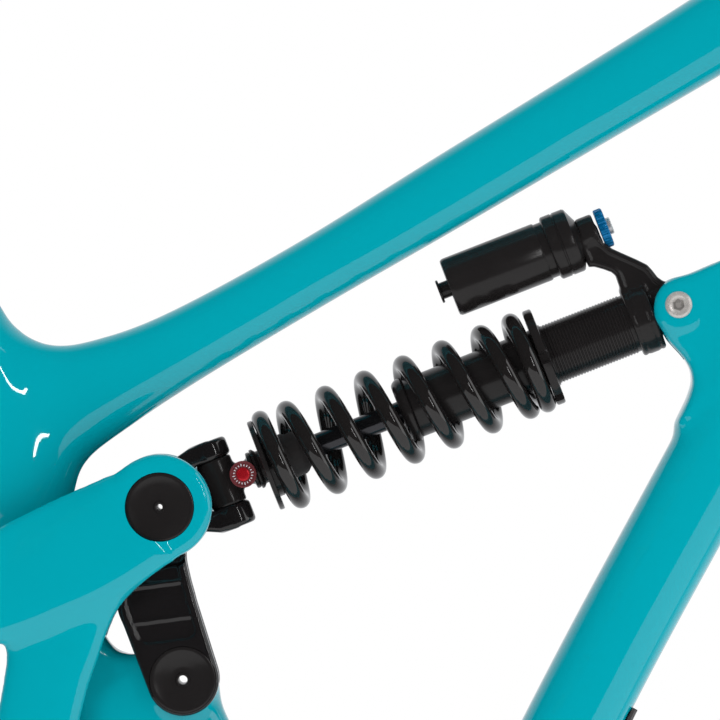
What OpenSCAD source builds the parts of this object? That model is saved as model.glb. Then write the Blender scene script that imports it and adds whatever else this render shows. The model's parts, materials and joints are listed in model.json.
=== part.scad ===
// Full-suspension bicycle frame with its coil shock, rocker link and sliding lower pivot.
// +X points forward, +Y to the rider's left, +Z up. The origin is the bottom-bracket centre.

/* [Front triangle] */
// Head tube centre, forward of the bottom bracket
head_x = 442; // [432:1:450]
// Head tube centre, above the bottom bracket
head_z = 545; // [538:1:552]
// Head angle from the horizontal
head_angle = 64.5; // [64:0.1:65]
// Length of the head tube
head_len = 110; // [106:1:116]
// Seat tube angle from the horizontal
seat_angle = 82.3; // [82:0.1:82.6]
// Height of the seat tube's top
seat_top_z = 474; // [468:1:480]
// Radius of the seat tube
seat_tube_r = 18; // [17.5:0.1:18.5]
// Radius of the seatpost bore
seatpost_r = 15.8; // [15.45:0.05:15.8]
// Width of the bottom-bracket shell
shell_w = 92; // [88:1:92]
// Radius of the bottom-bracket bore
shell_bore_r = 20.5; // [20:0.1:20.5]

/* [Suspension] */
// Length of the rocker link between its pivots
link_len = 88.8; // [88:0.1:89.5]
// Lean of the rocker link, forward of vertical
link_lean = 4.4; // [4:0.1:5]
// Distance from the rocker's upper pivot to the shock's front bolt
shock_span = 283.3; // [283:0.1:284]
// Rise of the shock's axis towards the front
shock_angle = 9.27; // [9:0.01:9.5]
// Outer diameter of the coil spring
spring_d = 54.7; // [54:0.1:55]
// Wire diameter of the coil spring
wire_d = 9; // [8:0.1:9.4]

/* [Rear triangle] */
// Horizontal distance from the bottom bracket back to the rear axle
stay_x = 438; // [436:1:442]
// Height of the rear axle above the bottom bracket
axle_z = 8; // [4:1:10]
// Space between the dropouts
hub_w = 148; // [146:1:150]

/* [Hidden] */
$fn = 64;
SIDES = 16;
STEPS = 3;

TEAL = [0.0, 0.60, 0.67];
BLACK = [0.06, 0.06, 0.065];
SATIN = [0.11, 0.11, 0.115];
STEEL = [0.68, 0.67, 0.65];
ALLOY = [0.72, 0.72, 0.73];
BLUE = [0.02, 0.33, 0.60];
RED = [0.62, 0.07, 0.08];
RUBBER = [0.04, 0.04, 0.04];

// Pivot points in the XZ plane
low_pivot = [-57, 226.5];
top_pivot = low_pivot + link_len * [sin(link_lean), cos(link_lean)];
shock_front = top_pivot + shock_span * [cos(shock_angle), sin(shock_angle)];
slide_pivot = [-61, 92];
rear_axle = [-stay_x, axle_z];

// Half widths of the layers stacked across the frame at the pivots
mast_half = 19.5;
link_in = 20;
link_out = 32;
arm_in = 34;
arm_out = 46;

// Pivot hardware
low_axle_r = 7.5;
top_axle_r = 6;
slide_axle_r = 5.5;
bearing_r = 12;
run_gap = 0.05;
open_eye_r = 12;
open_slide_r = 8.8;
cap_r = 17.6;
low_cap_r = 17.1;
cap_t = 3;

// Carrier rails
rail_x = -48;
rail_y = 13;
rail_r = 5;
rail_z0 = 40;
rail_z1 = 124;
bracket_h = 8;

// Shock stations, measured from the top pivot along the shock's axis
clevis_x = 33.4;
knob_x = 45.3;
spring_x0 = 59;
spring_x1 = 207.5;
seal_x = 131.5;
body_x0 = 137.5;
body_x1 = 257.7;
head_x1 = 270.3;
head_r = 18.2;
body_r = 15.55;
shaft_r = 6;
tank_up = 50.3;
tank_x0 = 177.8;
tank_x1 = 229;
tank_r = 15.35;
cap_x1 = 246.2;
comp_x = 259.8;

seat_dir = [-cos(seat_angle), sin(seat_angle)];
seat_foot = [-105.3, 200];
seat_len = (seat_top_z - seat_foot[1]) / seat_dir[1];

// Catmull-Rom interpolation of a list of stations [x, y, z, half width, half depth, exponent]
function spline(a, b, c, d, t) =
    0.5 * (2 * b + (c - a) * t + (2 * a - 5 * b + 4 * c - d) * t * t
    + (3 * b - a - 3 * c + d) * t * t * t);
function smooth(s) = [
    for (i = [0 : len(s) - 2]) for (j = [0 : STEPS - 1])
        spline(s[max(i - 1, 0)], s[i], s[i + 1], s[min(i + 2, len(s) - 1)], j / STEPS),
    s[len(s) - 1]
];
function place(v) = [v[0], v[1], v[2]];
function signed_pow(v, p) = sign(v) * pow(abs(v), p);
function unit(v) = v / norm(v);
function ring(s, dir) =
    let (side = unit([0, 1, 0] - dir * dir[1]), up = cross(dir, side)) [
        for (k = [0 : SIDES - 1]) let (q = 360 * k / SIDES)
            place(s) + s[3] * signed_pow(cos(q), 2 / s[5]) * side
            + s[4] * signed_pow(sin(q), 2 / s[5]) * up
    ];
function tube_faces(count, sides) = concat(
    [[for (k = [0 : sides - 1]) k]],
    [[for (k = [sides - 1 : -1 : 0]) (count - 1) * sides + k]],
    [for (i = [0 : count - 2]) for (k = [0 : sides - 1]) let (n = (k + 1) % sides)
        [i * sides + k, (i + 1) * sides + k, (i + 1) * sides + n]],
    [for (i = [0 : count - 2]) for (k = [0 : sides - 1]) let (n = (k + 1) % sides)
        [i * sides + k, (i + 1) * sides + n, i * sides + n]]
);

// A tube of superellipse sections swept through its stations
module loft(stations) {
    s = smooth(stations);
    last = len(s) - 1;
    points = [for (i = [0 : last])
        each ring(s[i], unit(place(s[min(i + 1, last)]) - place(s[max(i - 1, 0)])))];
    polyhedron(points, tube_faces(last + 1, SIDES));
}

// A cylinder across the frame, centred on a point of the XZ plane
module across(p, r, y0, y1) {
    translate([p[0], y1, p[1]]) rotate([90, 0, 0]) cylinder(r = r, h = y1 - y0);
}
// The same on both sides of the frame
module both_across(p, r, y0, y1) {
    across(p, r, y0, y1);
    across(p, r, -y1, -y0);
}
// A flat outline in the XZ plane, given a thickness across the frame
module plate(y0, y1) {
    translate([0, y1, 0]) rotate([90, 0, 0]) linear_extrude(y1 - y0) children();
}
module flip(side) {
    if (side < 0) children();
    if (side > 0) mirror([0, 1, 0]) children();
}
module box(lo, hi) {
    translate(lo) cube(hi - lo);
}
module on_head() {
    translate([head_x, 0, head_z]) rotate([0, head_angle - 90, 0]) children();
}
module on_seat() {
    translate([seat_foot[0], 0, seat_foot[1]]) rotate([0, seat_angle - 90, 0]) children();
}
module on_shock() {
    translate([top_pivot[0], 0, top_pivot[1]]) rotate([0, -shock_angle, 0]) children();
}
// A cylinder along the shock, from x0 to x1, raised off its axis
module along(x0, x1, r, up = 0) {
    translate([x0, 0, up]) rotate([0, 90, 0]) cylinder(r = r, h = x1 - x0);
}
// A turned part along the shock: points are [station, radius]
module turned(points, up = 0) {
    translate([0, 0, up]) rotate([0, 90, 0]) rotate_extrude()
        polygon([for (p = points) [p[1], p[0]]]);
}
// A dished round cap with a small hole, lying across the frame and facing outwards
module dished_cap(p, r, face_y, hole_r) {
    for (m = [0, 1]) mirror([0, m, 0])
        translate([p[0], -face_y, p[1]]) rotate([-90, 0, 0]) rotate_extrude()
            polygon([[hole_r, 1.6], [3.2, 1.6], [5, 0.9], [r - 2.2, 0.1], [r - 0.9, 0],
                [r, 0.7], [r, cap_t], [hole_r, cap_t]]);
}

/* Front triangle */
half_head = head_len / 2;
upper_cup_r = 22;
lower_cup_r = 28;
cup_depth = 14;

module head_outer(trim) {
    rotate_extrude() polygon([
        [0, -half_head], [32.5 - trim, -half_head], [32.5 - trim, -half_head + 16],
        [28.6 - trim, -half_head + 34], [25.4 - trim, half_head - 34],
        [26.8 - trim, half_head - 14], [26.8 - trim, half_head], [0, half_head]
    ]);
}
module head_tube() {
    color(TEAL) on_head() difference() {
        head_outer(0);
        translate([0, 0, -half_head - 1]) cylinder(r = lower_cup_r, h = cup_depth + 1);
        translate([0, 0, half_head - cup_depth]) cylinder(r = upper_cup_r, h = cup_depth + 1);
        translate([0, 0, -half_head]) cylinder(r = 20.5, h = head_len);
    }
}
module top_tube() {
    color(TEAL) difference() {
        loft([
            [-128, 0, 370, 17, 48, 2.3], [-110, 0, 371.5, 17.5, 44, 2.3],
            [-92, 0, 375.5, 17.5, 32, 2.3], [-60.5, 0, 382, 17.5, 23.7, 2.3],
            [-20.5, 0, 392.7, 17.5, 18.9, 2.4], [49.5, 0, 415, 18, 17.3, 2.5],
            [132.5, 0, 443.3, 19, 18.6, 2.6], [268, 0, 490, 21, 20.5, 2.6],
            [360, 0, 524, 22.5, 23.5, 2.5], [440, 0, 556, 22, 28, 2.3]
        ]);
        on_head() head_outer(1);
        on_seat() cylinder(r = seat_tube_r - 1, h = 320);
    }
}
module down_tube() {
    color(TEAL) difference() {
        loft([
            [0, 0, 0, 27, 22, 2.6], [62, 0, 75, 26, 23.8, 2.7], [137, 0, 168.8, 25.5, 23.8, 2.7],
            [197.7, 0, 241, 25.5, 23.8, 2.7], [300, 0, 358, 26, 24.5, 2.6],
            [380, 0, 439, 26, 26.5, 2.5], [452, 0, 515, 24.5, 29, 2.3]
        ]);
        on_head() head_outer(1);
        on_head() translate([0, 0, -half_head - 59.9]) cylinder(r = 42, h = 60);
        across([0, 0], shell_bore_r + 3, -50, 50);
        bottle_holes();
    }
}
module seat_tube() {
    color(TEAL) on_seat() difference() {
        cylinder(r = seat_tube_r, h = seat_len);
        translate([0, 0, 30]) cylinder(r = seatpost_r, h = seat_len);
        translate([-30, -0.7, seat_len - 24]) cube([30, 1.4, 30]);
    }
}
module seat_mast() {
    color(TEAL) difference() {
        union() {
            loft([
                [0, 0, 0, 24, 21, 2.5], [-3, 0, 60, 22, 22, 2.6], [-12, 0, 116, 19.5, 22, 2.7],
                [-50, 0, 163, 19.3, 24, 2.8], [-76, 0, 206, 19.3, 36, 2.8],
                [-88, 0, 232, 19.3, 35, 2.8]
            ]);
            across(low_pivot, 17, -mast_half, mast_half);
        }
        across([0, 0], shell_bore_r + 3, -50, 50);
        across(low_pivot, low_axle_r, -50, 50);
        on_seat() cylinder(r = seat_tube_r - 1, h = 320);
        bracket_bolt_shanks();
    }
}
module bb_shell() {
    color(TEAL) difference() {
        across([0, 0], 25, -shell_w / 2, shell_w / 2);
        across([0, 0], shell_bore_r, -50, 50);
    }
}

// Lug that holds the shock's front eye, run back into the down tube
lug_r = 12.3;
mount_half = 22;
slot_half = 15;
slot_r = 28;
shock_bolt_r = 5;
shock_turn = 6.63;
module shock_mount() {
    f = shock_front;
    color(TEAL) difference() {
        union() {
            across(f, lug_r, -mount_half, mount_half);
            plate(-mount_half, mount_half) polygon([
                f + [-2.3, 12.1], f + [26, 17.8], f + [60, 25], f + [68, 12], f + [12, -44],
                f + [-12, -59], f + [-4.5, -48.6], f + [-1, -41], f + [-0.8, -34],
                f + [-3, -27], f + [-9.4, -16.3], f + [-12.2, -4]
            ]);
        }
        across(f, slot_r, -slot_half, slot_half);
        across(f, shock_bolt_r, -40, 40);
        // Room for the damper's collar as the shock turns
        for (turn = [0 : shock_turn / 3 : shock_turn])
            translate([f[0], 0, f[1]]) rotate([0, -shock_angle - turn, 0])
                translate([-30, 0, 0]) rotate([0, 90, 0]) cylinder(r = head_r + 0.6, h = 17.6);
    }
}
module shock_bolt() {
    f = shock_front;
    color(STEEL) difference() {
        union() {
            across(f, shock_bolt_r, -24, 22);
            translate([f[0], -mount_half, f[1]]) rotate([90, 0, 0]) rotate_extrude()
                polygon([[0, 0], [6.95, 0], [6.95, 1.4], [6.3, 2.4], [5.2, 2.8], [4.4, 2.3],
                    [3.9, 2.6], [0, 2.6]]);
            across(f, 6.5, mount_half, mount_half + 2);
        }
        translate([f[0], -22, f[1]]) rotate([90, 0, 0]) cylinder(r = 2.75 / cos(30), h = 5, $fn = 6);
    }
}

// Seat collar and its bolt, behind the seat tube
collar_h = 15;
collar_gap = 3;
module seat_collar() {
    color(BLACK) on_seat() translate([0, 0, seat_len - 17]) difference() {
        union() {
            cylinder(r = seat_tube_r + 3.4, h = collar_h);
            translate([-seat_tube_r - 12, -9, 1]) cube([14, 18, collar_h - 2]);
        }
        translate([0, 0, -1]) cylinder(r = seat_tube_r, h = collar_h + 2);
        translate([-40, -collar_gap / 2, -1]) cube([40, collar_gap, collar_h + 2]);
        translate([-seat_tube_r - 7, 20, collar_h / 2]) rotate([90, 0, 0]) cylinder(r = 2.5, h = 40);
    }
}
module seat_collar_bolt() {
    color(STEEL) on_seat() translate([-seat_tube_r - 7, 9, seat_len - 17 + collar_h / 2])
        rotate([90, 0, 0]) difference() {
            union() {
                cylinder(r = 2.5, h = 18);
                translate([0, 0, 18]) cylinder(r = 4.4, h = 4);
            }
            translate([0, 0, 19]) cylinder(r = 2 / cos(30), h = 4, $fn = 6);
        }
}

// Bottle-cage inserts under the down tube
bottle_gap = 64;
bottle_mid = [291.5, 348];
bottle_tilt = 48.3;
bottle_depth = 24.5;
insert_r = 4.5;
insert_bore_r = 2.1;
module at_bottle() {
    for (k = [-0.5, 0.5])
        translate([bottle_mid[0], 0, bottle_mid[1]]) rotate([0, 90 - bottle_tilt, 0])
            translate([bottle_depth, 0, k * bottle_gap]) rotate([0, 90, 0]) children();
}
module bottle_holes() {
    at_bottle() translate([0, 0, -14]) cylinder(r = insert_r, h = 30);
}
module bottle_inserts() {
    color(ALLOY) at_bottle() difference() {
        translate([0, 0, -14]) cylinder(r = insert_r, h = 15.2);
        translate([0, 0, -15]) cylinder(r = insert_bore_r, h = 20);
    }
}

// Bonded rubber guard under the lower down tube
module down_tube_guard() {
    color(RUBBER) difference() {
        loft([
            [50, 0, 60.5, 22, 25.8, 2.6], [95, 0, 115.5, 23, 26.5, 2.7], [146, 0, 179, 21.5, 26, 2.7]
        ]);
        loft([
            [40, 0, 48.5, 32, 23.9, 3], [95, 0, 116, 32, 23.9, 3], [170, 0, 208, 32, 23.9, 3]
        ]);
        translate([105, 0, 127]) rotate([0, -50.4, 0]) translate([-100, -40, 0])
            cube([200, 80, 60]);
    }
}

// Cable covers on each side of the down tube, behind the head tube
port_at = [392, 455];
port_half = 9;
port_r = 6;
module cable_ports() {
    color(BLACK) for (m = [0, 1]) mirror([0, m, 0])
        translate([port_at[0], -26.2, port_at[1]]) rotate([0, -46, 0]) rotate([90, 0, 0])
            difference() {
                linear_extrude(3) union() {
                    translate([-port_half, 0]) circle(r = port_r);
                    translate([port_half, 0]) circle(r = port_r);
                    translate([-port_half, -port_r]) square([2 * port_half, 2 * port_r]);
                }
                translate([-3, 0, -1]) cylinder(r = 2.6, h = 6);
            }
}

/* Sliding lower pivot */
module carrier_rails() {
    color(ALLOY) for (m = [-1, 1]) translate([rail_x, m * rail_y, rail_z0])
        cylinder(r = rail_r, h = rail_z1 - rail_z0);
}
module rail_brackets() {
    color(BLACK) difference() {
        for (z = [rail_z0, rail_z1 - bracket_h])
            box([rail_x - 7.5, -20, z], [-20, 20, z + bracket_h]);
        for (m = [-1, 1]) translate([rail_x, m * rail_y, rail_z0 - 1])
            cylinder(r = rail_r, h = rail_z1 - rail_z0 + 2);
        across([0, 0], shell_bore_r + 3, -50, 50);
        bracket_bolt_shanks();
    }
}
module at_bracket_bolts() {
    for (z = [rail_z0 + bracket_h / 2, rail_z1 - bracket_h / 2]) for (m = [-1, 1])
        translate([rail_x - 7.5, m * 4, z]) rotate([0, 90, 0]) children();
}
module bracket_bolt_shanks() {
    at_bracket_bolts() cylinder(r = 2, h = 34);
}
module bracket_bolts() {
    color(STEEL) difference() {
        union() {
            bracket_bolt_shanks();
            at_bracket_bolts() translate([0, 0, -2.5]) cylinder(r = 3.4, h = 2.5);
        }
        at_bracket_bolts() translate([0, 0, -3]) cylinder(r = 1.5 / cos(30), h = 2, $fn = 6);
    }
}
block_h = 30;
module carrier_block() {
    p = slide_pivot;
    color(BLACK) difference() {
        box([p[0] - 10, -22, p[1] - block_h / 2], [-42.5, 22, p[1] + block_h / 2]);
        for (m = [-1, 1]) translate([rail_x, m * rail_y, rail_z0])
            cylinder(r = rail_r + run_gap, h = rail_z1 - rail_z0);
        across(p, slide_axle_r, -40, 40);
    }
}
module carrier_axle() {
    color(STEEL) difference() {
        across(slide_pivot, slide_axle_r, -33, 33);
        across(slide_pivot, 2.5 / cos(30), -34, -28, $fn = 6);
        across(slide_pivot, 2.5 / cos(30), 28, 34, $fn = 6);
    }
}

/* Rocker link */
link_mid = [-62.2, 268];
link_waist_r = 19.6;
link_eye_r = 15;
link_foot_r = 18.4;
tie_at = [-60, 268];
module link_arm(side) {
    flip(side) difference() {
        plate(-link_out, -link_in) union() {
            hull() {
                translate(low_pivot) circle(r = link_foot_r, $fn = 48);
                translate(link_mid) circle(r = link_waist_r, $fn = 48);
            }
            hull() {
                translate(link_mid) circle(r = link_waist_r, $fn = 48);
                translate(top_pivot) circle(r = link_eye_r, $fn = 48);
            }
        }
        across(low_pivot, bearing_r, -50, 0);
        across(top_pivot, bearing_r, -50, 0);
        across(low_pivot, low_cap_r, -50, -link_out + cap_t);
    }
}
module rocker_link() {
    color(BLACK) union() {
        link_arm(-1);
        link_arm(1);
        across(tie_at, 8, -link_in - 2, link_in + 2);
    }
}
module bearing(p, r_in, y0, y1) {
    difference() {
        both_across(p, bearing_r, y0, y1);
        across(p, r_in, -60, 60);
    }
}
module rocker_bearings() {
    color(STEEL) {
        bearing(low_pivot, low_axle_r + run_gap, link_in + 0.5, link_in + 7.5);
        bearing(top_pivot, top_axle_r + run_gap, link_in + 0.5, link_in + 7.5);
    }
}
module rocker_caps() {
    color(BLACK) dished_cap(low_pivot, low_cap_r, link_out, 2.3);
}
module lower_pivot_axle() {
    color(STEEL) difference() {
        across(low_pivot, low_axle_r, -28.5, 28.5);
        across(low_pivot, 2.3, -40, 40);
    }
}

/* Swingarm */
boss_r = 26.8;
module boss(side) {
    color(TEAL) flip(side) difference() {
        across(top_pivot, boss_r, -arm_out, -arm_in);
        across(top_pivot, top_axle_r, -60, 0);
        across(top_pivot, cap_r, -60, -arm_out + cap_t);
    }
}
module boss_right() boss(-1);
module boss_left() boss(1);
module upper_pivot_axle() {
    color(STEEL) difference() {
        across(top_pivot, top_axle_r, -arm_out + cap_t, arm_out - cap_t);
        across(top_pivot, 1.5, -60, 60);
    }
}
module upper_pivot_caps() {
    color(BLACK) dished_cap(top_pivot, cap_r, arm_out, 1.5);
}
module boss_cut() {
    across(top_pivot, cap_r, -60, -arm_out + cap_t);
    across(top_pivot, top_axle_r, -60, 0);
}
module seatstay(side) {
    color(TEAL) flip(side) difference() {
        loft([
            [-56, -40, 313, 6, 25, 3], [-100, -40.5, 304.5, 6.5, 25, 3],
            [-145, -42.5, 291, 7, 24, 2.8], [-195, -50, 264, 8, 17, 2.6],
            [-255, -59, 208, 8.5, 13.5, 2.5], [-345, -71.5, 106, 7.5, 12, 2.5],
            [-424, -78, 20, 4, 12, 2.6]
        ]);
        boss_cut();
        across(rear_axle, 6, -100, 0);
    }
}
module seatstay_right() seatstay(-1);
module seatstay_left() seatstay(1);
module strut(side) {
    color(TEAL) flip(side) difference() {
        loft([
            [-66, -40, 306, 6, 20, 3], [-99.3, -40, 283.3, 6, 23, 3],
            [-117.2, -40, 255.6, 6, 22.5, 3], [-127.3, -40, 235, 6, 21.2, 2.8],
            [-137, -40, 210, 6, 20.5, 2.8], [-140, -39.5, 180, 6, 19.5, 2.8],
            [-124, -37, 140, 7, 19, 2.8], [-90, -31, 108, 7.5, 18, 2.8],
            [-61, -28.5, 92, 5.7, 17, 2.8]
        ]);
        boss_cut();
        across(slide_pivot, open_slide_r, -60, 0);
    }
}
module strut_right() strut(-1);
module strut_left() strut(1);
module chainstay_solid() {
    loft([
        [-72, -33, 92, 8, 15, 2.8], [-122, -43.5, 80, 7, 14.5, 2.8],
        [-205, -53.5, 56, 7.5, 14, 2.6], [-320, -69, 26, 7.5, 12, 2.5],
        [-424, -78, 9.5, 4, 12, 2.6]
    ]);
}
module chainstay(side) {
    color(TEAL) flip(side) difference() {
        chainstay_solid();
        across(rear_axle, 6, -100, 0);
        across(slide_pivot, yoke_cap_r + 0.5, -60, -arm_in);
    }
}
module chainstay_right() chainstay(-1);
module chainstay_left() chainstay(1);

yoke_back = -88;
yoke_pocket = -75.5;
yoke_cap_r = 13;
module yoke() {
    p = slide_pivot;
    color(TEAL) difference() {
        union() {
            both_across(p, 17, 22.6, 34);
            box([yoke_back, -34, p[1] - 17], [p[0], 34, p[1] + 17]);
        }
        box([yoke_pocket, -22.6, 0], [0, 22.6, 200]);
        across(p, open_slide_r, -60, 60);
    }
}
module yoke_caps() {
    color(BLACK) for (m = [0, 1]) mirror([0, m, 0])
        translate([slide_pivot[0], -36, slide_pivot[1]]) rotate([-90, 0, 0])
            rotate_extrude() polygon([[0, 0.5], [9, 0], [yoke_cap_r - 1, 0], [yoke_cap_r, 0.8],
                [yoke_cap_r, 2], [0, 2]]);
}

// Dropout plates with the through-axle bore
drop_t = 8;
drop_in = hub_w / 2;
module dropout(side) {
    a = rear_axle;
    color(TEAL) flip(side) difference() {
        union() {
            across(a, 15, -drop_in - drop_t, -drop_in);
            plate(-drop_in - drop_t, -drop_in) polygon([
                a + [0, -13], a + [30, -9], a + [36, 6], a + [34, 18], a + [24, 30],
                a + [10, 28], a + [-10, 8]
            ]);
        }
        across(a, 6, -100, 0);
    }
}
module dropout_right() dropout(-1);
module dropout_left() dropout(1);

hanger_at = rear_axle + [-9, -28];
hanger_y = -drop_in - drop_t;
module derailleur_hanger() {
    a = rear_axle;
    color(BLACK) difference() {
        plate(hanger_y - 6, hanger_y) union() {
            translate(hanger_at) circle(r = 9.5);
            translate(a) circle(r = 13);
            polygon([a + [-13, 1], hanger_at + [-9.5, 0], hanger_at + [9.3, 2], a + [22, -10],
                a + [22, -2], a + [10, 9]]);
        }
        across(a, 6, -100, 0);
        across(hanger_at, 4.25, -100, 0);
        across(a + [17, -5], 2, -100, 0);
    }
}
module hanger_bolt() {
    a = rear_axle + [17, -5];
    color(STEEL) difference() {
        union() {
            across(a, 2, hanger_y - 6, hanger_y);
            across(a, 3.4, hanger_y - 7.6, hanger_y - 6);
        }
        across(a, 1.5 / cos(30), hanger_y - 9, hanger_y - 6.4, $fn = 6);
    }
}

// Post mount for the rear brake, above the left chainstay
post_gap = 74.2;
post_top = 66;
post_x = -362;
post_y = 68;
module brake_mount() {
    color(TEAL) difference() {
        union() {
            plate(post_y - 5, post_y + 5) polygon([
                [post_x - 46, post_top - 14], [post_x + 46, post_top - 14],
                [post_x + 50, 24], [post_x - 30, 16], [post_x - 52, 26]
            ]);
            for (k = [-0.5, 0.5]) translate([post_x + k * post_gap, post_y, post_top - 22])
                cylinder(r = 8, h = 22);
        }
        for (k = [-0.5, 0.5]) translate([post_x + k * post_gap, post_y, post_top - 16])
            cylinder(r = 2.5, h = 30);
    }
}
module chainstay_guard() {
    color(RUBBER) difference() {
        loft([
            [-118, -43, 81, 8.6, 16.2, 2.8], [-205, -53.5, 56, 9.2, 15.6, 2.6],
            [-300, -66.5, 31, 9.2, 13.9, 2.5]
        ]);
        chainstay_solid();
        translate([-210, -50, 40]) rotate([0, -14.5, 0]) translate([-140, -60, -48])
            cube([280, 120, 40]);
    }
}

/* Shock: the body that turns on the front bolt */
module damper_body() {
    color(SATIN) on_shock() difference() {
        along(body_x0, body_x1, body_r);
        along(body_x0 - 1, body_x1 + 1, 14);
    }
}
module damper_head() {
    color(SATIN) on_shock() difference() {
        union() {
            along(body_x1 - 6, body_x1, 14);
            along(body_x1, head_x1, head_r);
            along(cap_x1 + 3.4, 258.4, 9.2, tank_up);
            plate(-9, 9) polygon([
                [246.5, 50], [247.9, 34.4], [254.4, 30.7], [258.9, 25.4], [257.7, 12], [270, 6],
                [283, 11.5], [278.6, 17.1], [276, 24.8], [262.1, 39.2], [258.4, 46]
            ]);
            across([shock_span, 0], 11.8, -11, 11);
            box([head_x1 - 1, -11, -11], [shock_span - 6, 11, 11]);
        }
        across([shock_span, 0], 7.5, -20, 20);
        along(comp_x - 0.5, comp_x + 20, 10.7, tank_up);
        along(tank_x1, cap_x1 + 3.4, 17, tank_up);
    }
}
module eyelet_bush() {
    color(ALLOY) on_shock() difference() {
        union() {
            across([shock_span, 0], 7.5, -slot_half + 0.1, slot_half - 0.1);
            both_across([shock_span, 0], 9.5, 11, slot_half - 0.1);
        }
        across([shock_span, 0], shock_bolt_r + run_gap, -20, 20);
    }
}
module seal_head() {
    color(SATIN) on_shock() difference() {
        union() {
            along(seal_x, body_x0, 17);
            along(body_x0, body_x0 + 12, 14);
        }
        along(seal_x - 1, body_x0 + 14, shaft_r + run_gap);
    }
}
module reservoir() {
    color(SATIN) on_shock() difference() {
        along(tank_x0, tank_x1, tank_r, tank_up);
        along(tank_x0 + 4, tank_x1 + 1, 13.6, tank_up);
        along(tank_x0 - 1, tank_x1, 3, tank_up);
    }
}
module reservoir_collar() {
    color(SATIN) on_shock() turned([
        [tank_x1, 0], [tank_x1, 14.6], [232.9, 14.6], [232.9, 16.2], [233.5, 16.8],
        [cap_x1, 16.8], [cap_x1 + 3.4, 9.2], [cap_x1 + 3.4, 0]
    ], tank_up);
}
module reservoir_piston() {
    color(ALLOY) on_shock() turned([
        [196, 0], [196, 13.55], [206, 13.55], [206, 9], [200, 9], [200, 0]
    ], tank_up);
}
module valve_cap() {
    color(SATIN) on_shock() turned([
        [172, 0], [172, 6.15], [173.3, 6.15], [173.3, 4.35], [tank_x0, 4.35], [tank_x0, 3],
        [tank_x0 + 3.8, 3], [tank_x0 + 3.8, 0]
    ], tank_up);
}
module compression_knob() {
    color(BLUE) on_shock() turned([
        [comp_x, 0], [comp_x, 10.3], [comp_x + 4, 10.3], [comp_x + 4.6, 9.6],
        [comp_x + 4.6, 4.4], [comp_x + 6.8, 4.4], [comp_x + 6.8, 0]
    ], tank_up);
}
module preload_collar() {
    color(SATIN) on_shock() difference() {
        turned([
            [spring_x1, 0], [spring_x1, 24.8], [spring_x1 + 0.8, 25.6], [spring_x1 + 4.1, 25.6],
            [spring_x1 + 4.7, 25], [spring_x1 + 4.7, 17], [spring_x1 + 5.7, 16.4],
            [spring_x1 + 5.7, 0]
        ]);
        along(200, 230, body_r + run_gap);
        for (k = [0 : 5]) rotate([60 * k, 0, 0])
            box([spring_x1 + 2, -2.5, 22.6], [spring_x1 + 8, 2.5, 30]);
    }
}

// Coil spring: a right-handed helix about the shock's axis, closed at both ends
coil_rings = 14;
wire_sides = 8;
coil_pitch = 21.3;
free_turns = 5;
rear_rise = 14;
front_turns = 1.5;
coil_turns = 1 + free_turns + front_turns;
coil_last = coil_turns * coil_rings;
coil_mean = (spring_d - wire_d) / 2;
coil_x0 = spring_x0 + wire_d / 2;
coil_x1 = spring_x1 - wire_d / 2;
front_rise = coil_x1 - coil_x0 - rear_rise - free_turns * coil_pitch;
// Station reached after a number of turns; the end turns ease into their seats
function coil_at(turn) = turn < 1 ? rear_rise * pow(turn, 1.6)
    : turn < 1 + free_turns ? rear_rise + (turn - 1) * coil_pitch
    : rear_rise + free_turns * coil_pitch
        + front_rise * (1 - pow(1 - (turn - 1 - free_turns) / front_turns, 1.8));
function coil_ring(turn) = let (q = 360 * turn) [
    for (k = [0 : wire_sides - 1]) let (w = 360 * k / wire_sides,
        r = coil_mean + wire_d / 2 * cos(w))
        [coil_x0 + coil_at(turn) + wire_d / 2 * sin(w), -r * sin(q), r * cos(q)]
];
module coil_spring() {
    color(BLACK) on_shock() polyhedron(
        [for (i = [0 : coil_last]) each coil_ring(i / coil_rings)],
        tube_faces(coil_last + 1, wire_sides)
    );
}

/* Shock: the shaft and what slides with it */
module damper_shaft() {
    color(BLACK) on_shock() along(50, 156, shaft_r);
}
module damper_piston() {
    color(ALLOY) on_shock() turned([
        [156, 0], [156, 13.9], [166, 13.9], [166, 7], [170, 7], [170, 0]
    ]);
}
module bump_stop() {
    color(RUBBER) on_shock() turned([
        [66, shaft_r], [66, 12.5], [70, 12.5], [72, 11.5], [76, 11.5], [80, 8.5], [80, shaft_r]
    ]);
}
module shaft_end() {
    color(SATIN) on_shock() difference() {
        union() {
            along(36, 52, 10.4);
            translate([clevis_x, 0, -12]) cylinder(r = 9, h = 24);
        }
        translate([clevis_x, 0, -20]) cylinder(r = 4, h = 40);
        along(50, 60, shaft_r);
    }
}
module spring_seat() {
    color(SATIN) on_shock() turned([
        [52, shaft_r], [52, 10.4], [53.4, 10.4], [55, 8.6], [56.3, 8.6], [56.3, 23.4],
        [56.9, 24], [spring_x0, 24], [spring_x0, 17.5], [62, 17.5], [66, 11.5], [66, shaft_r]
    ]);
}
lobe_r = 9.9;
lobe_top = 22.2;
lobe_foot = -24.2;
fork_half = 12.3;
fork_x = 23.8;
bolt_seat = 16;
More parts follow.
